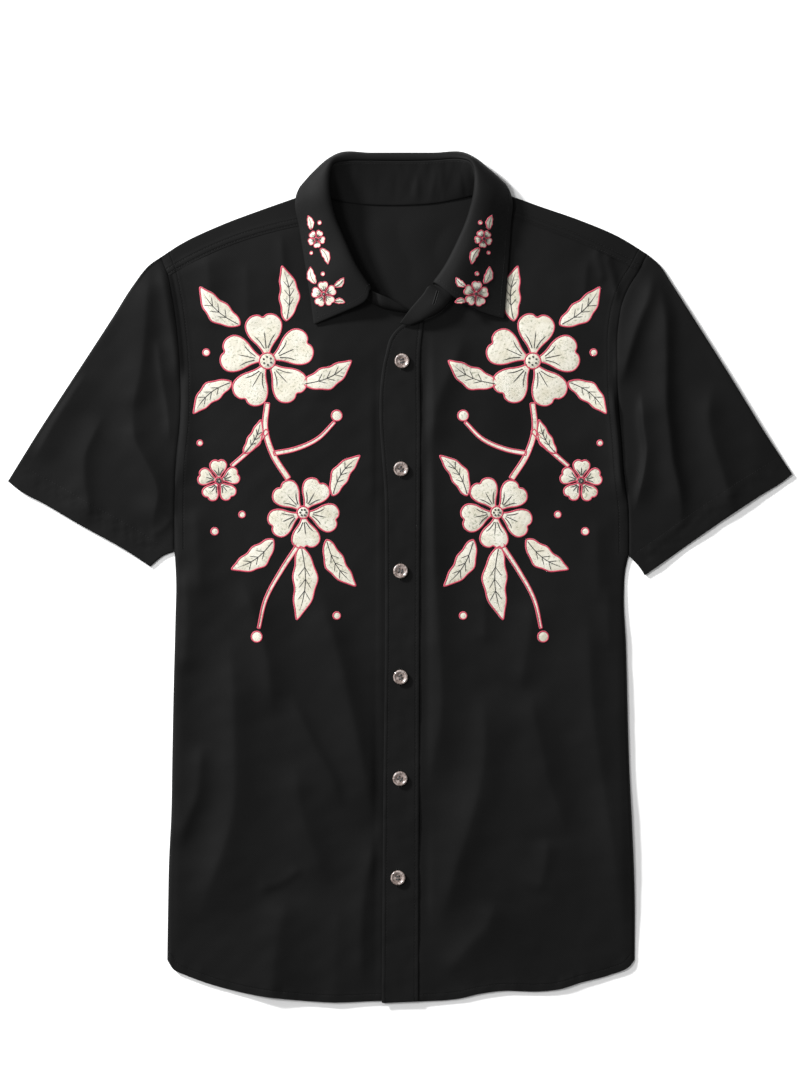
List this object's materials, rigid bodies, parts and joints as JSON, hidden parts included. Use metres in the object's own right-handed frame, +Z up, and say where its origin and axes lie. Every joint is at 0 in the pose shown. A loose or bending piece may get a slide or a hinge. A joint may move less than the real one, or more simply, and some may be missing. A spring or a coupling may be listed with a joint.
{
  "type": "short-sleeved western shirt laid flat",
  "caption": "Short-sleeved western-style button shirt with a pointed collar, laid flat face up with its front buttoned over the back.",
  "frame": {"origin": "under the middle of the whole laid-out shirt, on the surface that it lies on", "axes": "+X across the shirt towards the wearer's left side, +Y from the hem to the collar, +Z up from the surface, out of the shirt's front"},
  "size_m": [0.7463, 0.8093, 0.0245],
  "materials": {
    "cloth": "matte black twill with a soft sheen",
    "collar": "the same cloth over interfacing, smoother",
    "button": "marbled grey-brown resin, polished",
    "embroidery": "cream satin stitch",
    "outline_thread": "red satin stitch",
    "sewing_thread": "black polyester sewing thread"
  },
  "bodies": {
    "root": {"back_panel": "cloth", "back_yoke": "cloth", "front_right": "cloth", "front_left": "cloth", "placket": "cloth", "sleeve_right": "cloth", "sleeve_left": "cloth", "collar_stand": "collar", "collar_leaf": "collar", "button_1": "button", "button_2": "button", "button_3": "button", "button_4": "button", "button_5": "button", "button_6": "button"}
  },
  "joints": []
}
